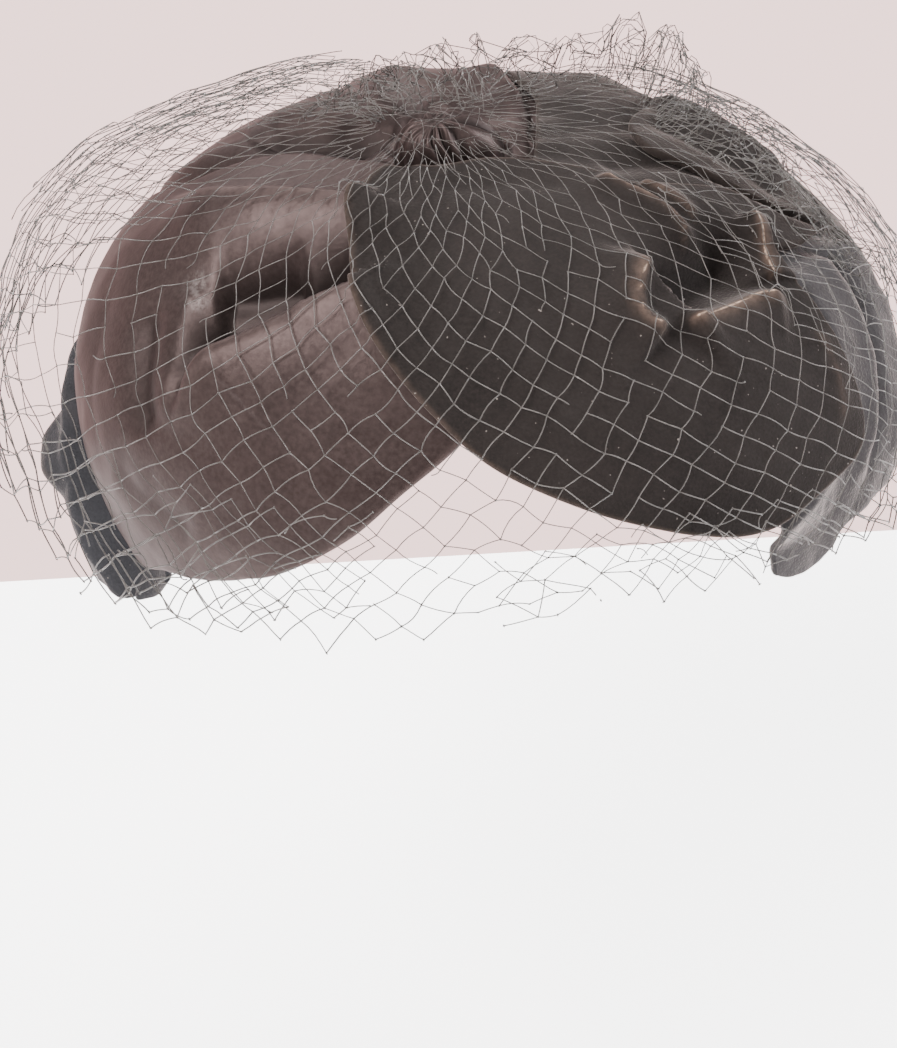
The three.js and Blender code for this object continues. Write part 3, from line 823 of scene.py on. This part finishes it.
right_drape = drape("side_drape_right_cloth", RIGHT_ROWS, RIGHT_DRAPE_FOLDS, RIGHT_COVERS, 31)
left_drape = drape("side_drape_left_cloth", LEFT_ROWS, LEFT_DRAPE_FOLDS, LEFT_COVERS, 37)
# The right drape takes the lighter painted copy of the velvet and the left drape the darker painted copy.
dress(right_drape, VELVET_PAINTED_LIT, "side_drape_right")
dress(left_drape, VELVET_PAINTED_SHADE, "side_drape_left")


# The veil
def top_height(spots):
    """The height of whatever cloth is uppermost at each spot."""
    top = np.full(len(spots), -20.0)
    for layer in (satin_back, satin_front, velvet_back, crown_fold, velvet_front):
        here = layer.outline.share(spots) < 1.02
        height = layer.height(spots)
        top = np.where(here & (height > top), height, top)
    share = np.minimum(KNOT.share(spots), 1)
    dome = KNOT_SEAT + KNOT_HEIGHT * np.sqrt(1 - share ** 3) + 1
    return np.where((KNOT.share(spots) < 1) & (dome > top), dome, top)


VEIL_ROWS = np.array([
    (-150, 78, 0.05), (-125, 86, 0.3), (-100, 93, 0.85), (-75, 95, 1), (-52, 98, 0.35), (-33, 96, 0.05),
    (-12, 91, 0), (4, 86, 0), (18, 80, 0), (34, 79.5, 0), (52, 84, 0), (80, 91, 0.0), (110, 90, 0.1),
    (150, 78, 0.1),
])


def veil_row(bearing, column):
    return np.interp(bearing, VEIL_ROWS[:, 0], VEIL_ROWS[:, column])


def net_level(spots, lift):
    fall = np.hypot(spots[:, 0], spots[:, 1])
    bearing = np.degrees(np.arctan2(spots[:, 0], -spots[:, 1]))
    swell = veil_row(np.clip(bearing, VEIL_FIRST, VEIL_LAST), 2)
    away = np.linalg.norm(spots - KNOT.centre, axis=1) - VEIL_START
    base = mix(VEIL_AT_KNOT, VEIL_STAND_OFF, ease(away / 18))
    base = base + VEIL_BALLOON * swell * ease((fall - 22) / 45)
    base = base + VEIL_HEM_LIFT * ease((fall - 78) / 25)
    base = base + 1.3 * noise(spots, 11, 51) + 0.7 * noise(spots, 5, 52)
    return np.maximum(base, top_height(spots) + NET_CLEARANCE) + lift


def net_places(spots, lift):
    place, normal = on_form(spots)
    return place + normal * net_level(spots, lift)[:, None], normal


SECTION = np.array([(1, 0), (0, 1), (-1, 0), (0, -1)], float)


def strands(paths, normals, radius):
    """Square-section strands along paths of the same number of points, as points and faces."""
    count, steps, _ = paths.shape
    run = np.gradient(paths, axis=1)
    run /= np.maximum(np.linalg.norm(run, axis=2, keepdims=True), 1e-9)
    side = np.cross(run, normals)
    side /= np.maximum(np.linalg.norm(side, axis=2, keepdims=True), 1e-9)
    up = np.cross(side, run)
    radius = np.broadcast_to(np.asarray(radius, float), (count, steps))[..., None]
    rings = [paths + (side * a + up * b) * radius for a, b in SECTION]
    points = np.stack(rings, 2).reshape(-1, 3)
    first = (np.arange(count)[:, None] * steps + np.arange(steps - 1)[None, :]).reshape(-1, 1) * 4
    faces = []
    for i in range(4):
        after = (i + 1) % 4
        faces.append(np.hstack([first + i, first + after, first + 4 + after, first + 4 + i]))
    start = np.arange(count)[:, None] * steps * 4
    end = start + (steps - 1) * 4
    caps = [start + np.array([[3, 2, 1, 0]]), end + np.array([[0, 1, 2, 3]])]
    return points, np.vstack(faces + caps)


def net_mesh(name, groups):
    points, faces, offset = [], [], 0
    for group_points, group_faces in groups:
        points.append(group_points)
        faces.append(group_faces + offset)
        offset += len(group_points)
    return make_mesh(name, np.vstack(points) * MM, np.vstack(faces))


def lattice(columns, steps, spot_at, random, wander):
    """Knots of a net, every other row half a column along, and the strands between them."""
    index, spots = {}, []
    for step in range(steps + 1):
        shift = (step % 2) / 2
        for i in range(int(columns - 2 * shift) + 1):
            index[i + shift, step] = len(spots)
            spots.append(spot_at(i + shift, step))
    spots = np.array(spots)
    edge = np.array([0.35 if step == 0 else 1.0 for (_, step) in index])
    spots += random.normal(0, wander, spots.shape) * edge[:, None]
    pairs = []
    for (column, step), at in index.items():
        for side in (-0.5, 0.5):
            other = index.get((column + side, step + 1))
            if other is not None:
                pairs.append((at, other, step))
    return spots, np.array(pairs)


def drawn_thin(spots):
    """Strands are drawn thin toward the knot, and lie slack and thicker at the hem."""
    return np.interp(np.hypot(spots[:, 0], spots[:, 1]), [8, 38, 72, 90], [0.55, 1.0, 1.05, 1.6])


def net_groups(spots, pairs, random, places, broken, radius, bow=0.28, thin=drawn_thin):
    """Strands with a slight bow, some of them broken off short, and a small knot at each crossing."""
    a, b = spots[pairs[:, 0]], spots[pairs[:, 1]]
    keep = random.random(len(pairs)) > broken
    snapped = ~keep & (random.random(len(pairs)) < 0.6)
    length = np.where(snapped, random.uniform(0.25, 0.6, len(pairs)), 1.0)
    shown = keep | snapped
    a, b, length, snapped = a[shown], b[shown], length[shown], snapped[shown]
    steps = 5
    t = np.linspace(0, 1, steps)
    run = (b - a) * length[:, None]
    aside = np.stack([-run[:, 1], run[:, 0]], 1)
    lean = random.normal(0, bow, len(a)) * np.where(snapped, 1.6, 0.45)
    line = a[:, None] + run[:, None] * t[None, :, None]
    line = line + aside[:, None] * (lean[:, None] * t * (1 - snapped[:, None] * 0.4 - t))[..., None]
    place, normal = places(line.reshape(-1, 2))
    girth = radius * thin(line.reshape(-1, 2)).reshape(-1, steps)
    groups = [strands(place.reshape(-1, steps, 3), normal.reshape(-1, steps, 3), girth)]
    used = np.unique(pairs[shown])
    place, normal = places(spots[used])
    across = np.cross(normal, random.normal(0, 1, normal.shape))
    across /= np.linalg.norm(across, axis=1, keepdims=True)
    radius = radius * thin(spots[used])[:, None]
    size = radius * 2.6
    tie = np.stack([place - across * size, place, place + across * size], 1)
    girth = np.array([[0.5, 1.7, 0.5]]) * radius
    groups.append(strands(tie, np.repeat(normal[:, None], 3, 1), girth))
    return groups


def veil_spot(columns, steps, first=VEIL_FIRST, last=VEIL_LAST, start_share=0.0, end_share=1.0, phase=0.0,
              ragged=0.0):
    """The place of each knot of the net, by its column and its step down from the crown."""
    random = np.random.default_rng(71)
    rag = random.normal(0, 1, 400)

    def at(column, step):
        bearing = mix(first, last, (column + phase) / columns)
        t = mix(start_share, end_share, step / steps)
        ring = VEIL_START * (1 + 0.22 * rag[int(column * 2 + 90) % 400] * (1 - step / steps) ** 9)
        start = KNOT.centre + chart([(bearing, ring)])[0]
        hem = veil_row(bearing, 1) + ragged * rag[int(column * 2) % 400] * (step / steps) ** 3
        return mix(start, chart([(bearing, hem)])[0], t)
    return at


# Doubled layers of net: bearings, shares of the way down, height over the first layer
VEIL_LAYERS = [
    (-70, -8, 0.72, 0.95, 1.2), (-52, -20, 0.84, 1.0, 2.0), (8, 75, 0.86, 1.0, 1.4),
    (-140, -70, 0.3, 1.0, -3.0), (-150, -95, 0.12, 0.7, 2.0), (62, 140, 0.25, 0.9, 1.6),
    (22, 62, 0.9, 1.02, 2.4),
]


def veil_piece():
    random = np.random.default_rng(5)
    at = veil_spot(VEIL_COLUMNS, VEIL_STEPS, ragged=1.1)
    spots, pairs = lattice(VEIL_COLUMNS, VEIL_STEPS, at, random, 0.32)
    groups = net_groups(spots, pairs, random, lambda s: net_places(s, 0.0), 0.05, STRAND)
    for number, (first, last, high, low, lift) in enumerate(VEIL_LAYERS):
        columns = round(VEIL_COLUMNS * (last - first) / (VEIL_LAST - VEIL_FIRST))
        steps = round(VEIL_STEPS * (low - high))
        at = veil_spot(columns, steps, first, last, high, low, 0.37 * (number + 1) % 1, 1.4)
        spots, pairs = lattice(columns, steps, at, random, 0.9)
        groups += net_groups(spots, pairs, random, lambda s: net_places(s, lift), 0.12, STRAND)
    groups += gather_groups(random)
    return net_mesh("veil_net", groups)


def gather_groups(random):
    """Loose strands tangled over the knot, where the veil is caught."""
    count, steps = TANGLE_STRANDS, 9
    t = np.linspace(0, 1, steps)
    start = KNOT.centre + random.normal(0, 1, (count, 2)) * np.array([5.5, 3.5]) + np.array([1.5, 0.5])
    heading = random.uniform(0, 2 * np.pi, count)[:, None] + random.normal(0, 1.3, count)[:, None] * t
    stride = random.uniform(3, 9, count)[:, None, None] / steps
    line = start[:, None] + np.cumsum(np.stack([np.cos(heading), np.sin(heading)], 2) * stride, 1)
    spots = line.reshape(-1, 2)
    lift = np.repeat(random.uniform(0.1, 2.0, count), steps)
    level = net_level(spots, lift).reshape(count, steps)
    level = mix(level, level.mean(1, keepdims=True), 0.6).ravel()
    place, normal = on_form(spots)
    place = place + normal * level[:, None]
    return [strands(place.reshape(count, steps, 3), normal.reshape(count, steps, 3), TANGLE_STRAND)]


veil = veil_piece()
dress(veil, NET, "veil")

# The ruffle: loose loops of the same net that stand up behind the knot and along the right of the crown
# Rows: bearing, fall, height and width
RUFFLE_ROWS = spline(np.array([
    (-104, 22, 4, 9), (-118, 20, 7, 8), (-140, 16, 9, 8), (-165, 15, 9.5, 7), (-190, 22, 9, 8),
    (-203, 33, 15, 8), (-212, 36, 17, 7), (-226, 33, 12, 7), (-240, 30, 9, 8), (-256, 35, 8, 8),
    (-268, 44, 8, 8), (-274, 58, 7, 9),
], float), 12, False)


def ruffle_piece():
    random = np.random.default_rng(15)
    columns, steps = RUFFLE_COLUMNS, RUFFLE_STEPS
    turn = np.random.default_rng(16)

    def crumpled(spots, lift):
        """Spots here are the way along the ruffle and across it."""
        along = np.clip(spots[:, 0], 0, 1) * (len(RUFFLE_ROWS) - 1)
        low = np.minimum(along.astype(int), len(RUFFLE_ROWS) - 2)
        row = mix(RUFFLE_ROWS[low], RUFFLE_ROWS[low + 1], (along - low)[:, None])
        across = np.clip(spots[:, 1], 0, 1)
        fall = row[:, 1] + (across - 0.5) * row[:, 3] * 1.3
        chart_spots = chart(np.stack([row[:, 0], fall], 1))
        place, normal = on_form(chart_spots)
        arch = np.sin(across * np.pi)
        rough = np.stack([spots[:, 0] * 230, spots[:, 1] * 28], 1)
        height = row[:, 2] * arch * (1 + 0.35 * noise(rough, 9, 81)) + 3.2 * noise(rough, 6, 82) * arch
        height = np.maximum(height, top_height(chart_spots) + 0.8) + lift
        sway = np.stack([noise(rough, 7, s) for s in (83, 84, 85)], 1) * 2.6 * arch[:, None]
        return place + normal * height[:, None] + sway, normal

    groups = []
    for lift, phase in ((0.0, 0.0), (-1.5, 0.4)):
        def at(column, step):
            return np.array([(column + phase) / columns, step / steps])
        spots, pairs = lattice(columns, steps, at, turn, 0.0)
        spots += turn.normal(0, 1, spots.shape) * np.array([0.004, 0.05])
        groups += net_groups(spots, pairs, random, lambda s: crumpled(s, lift), 0.16, STRAND, 0.5,
                             lambda s: np.ones(len(s)))
    return net_mesh("veil_ruffle", groups)


ruffle = ruffle_piece()
dress(ruffle, NET, None)


# Floor, world and lights
FLOOR_COLOUR = (0.95, 0.95, 0.95)
WORLD_BELOW = (2.75, 1.88, 1.80)
WORLD_ABOVE = (0.22, 0.217, 0.215)
WORLD_CHANGE = 0.06


def floor_material():
    """A pale surface that glows softly in the middle of the stage, as under a studio lamp."""
    n = Nodes("floor_white")
    shade = tuple(c * 0.985 for c in FLOOR_COLOUR)
    n.link(n.blend(n.noise(3, 2), FLOOR_COLOUR, shade), n.shader.inputs["Base Color"])
    far = n.add("ShaderNodeVectorMath", operation="LENGTH")
    n.link(n.place(), far.inputs[0])
    glow = n.curve(far.outputs["Value"], GLOW_START, GLOW_START + GLOW_SPREAD, GLOW_NEAR, GLOW_FAR)
    n.link(glow, n.shader.inputs["Emission Strength"])
    n.set(Roughness=0.9, Specular_IOR_Level=0.2, Emission_Color=(*FLOOR_COLOUR, 1))
    return n.material


def floor_point(pixel, level):
    """Where the camera's ray through a pixel of the photograph's frame meets the floor."""
    aside = (pixel[0] - PICTURE_WIDTH / 2) / FOCAL_PX
    below = (pixel[1] - PICTURE_HEIGHT / 2) / FOCAL_PX
    ray = camera_spin @ Vector((aside, -below, -1))
    eye = camera.matrix_world.translation
    return eye + ray * (level - eye.z) / ray.z


def make_floor():
    """A flat floor whose far edge runs between the two horizon pixels."""
    level = cad_box[0][2] - FLOOR_DROP
    left, right = (floor_point(pixel, level) for pixel in HORIZON_PX)
    along = (right - left).normalized()
    nearer = Vector((along.y, -along.x, 0)) * FLOOR_REACH
    start, end = left - along * FLOOR_REACH, right + along * FLOOR_REACH
    mesh = bpy.data.meshes.new("floor")
    mesh.from_pydata([start + nearer, end + nearer, end, start], [], [(0, 1, 2, 3)])
    mesh.materials.append(floor_material())
    floor = bpy.data.objects.new("floor", mesh)
    bpy.context.scene.collection.objects.link(floor)


def area_light(name, place, size, power, colour):
    """A round lamp that faces the middle of the form."""
    data = bpy.data.lights.new(name, "AREA")
    data.shape = "DISK"
    data.size = size
    data.energy = power
    data.color = colour
    lamp = bpy.data.objects.new(name, data)
    lamp.location = place
    aim = Vector((0, 0, WIDEST_LEVEL * MM)) - Vector(place)
    lamp.rotation_euler = aim.to_track_quat("-Z", "Y").to_euler()
    bpy.context.scene.collection.objects.link(lamp)


def make_world():
    """Blush light that the camera sees past the floor's far edge, and a dim studio above the horizon."""
    world = bpy.data.worlds.new("studio")
    world.use_nodes = True
    nodes, links = world.node_tree.nodes, world.node_tree.links
    way = nodes.new("ShaderNodeTexCoord")
    parts = nodes.new("ShaderNodeSeparateXYZ")
    level = nodes.new("ShaderNodeMapRange")
    blend = nodes.new("ShaderNodeMix")
    blend.data_type = "RGBA"
    level.inputs["From Min"].default_value = 0.0
    level.inputs["From Max"].default_value = WORLD_CHANGE
    blend.inputs[6].default_value = (*WORLD_BELOW, 1)
    blend.inputs[7].default_value = (*WORLD_ABOVE, 1)
    links.new(way.outputs["Generated"], parts.inputs[0])
    links.new(parts.outputs["Z"], level.inputs["Value"])
    links.new(level.outputs["Result"], blend.inputs[0])
    links.new(blend.outputs[2], nodes["Background"].inputs[0])
    bpy.context.scene.world = world


# Lamps: name, place and size in metres, power in watts, colour
LAMPS = [
    ("key_light", (-0.74, -0.46, 0.91), 0.9, 50, (1.0, 0.95, 0.93)),
    ("back_light", (-0.1, 0.5, 1.15), 0.8, 20, (1.0, 0.98, 0.97)),
    ("front_light", (0.75, -1.0, 0.45), 0.8, 9, (1.0, 0.97, 0.95)),
    ("left_light", (-0.7, 0.83, 0.5), 0.5, 7, (1.0, 0.96, 0.96)),
    ("right_light", (1.1, 0.4, 0.6), 0.6, 36, (0.98, 0.98, 1.0)),
]

make_floor()
make_world()
for lamp_row in LAMPS:
    area_light(*lamp_row)
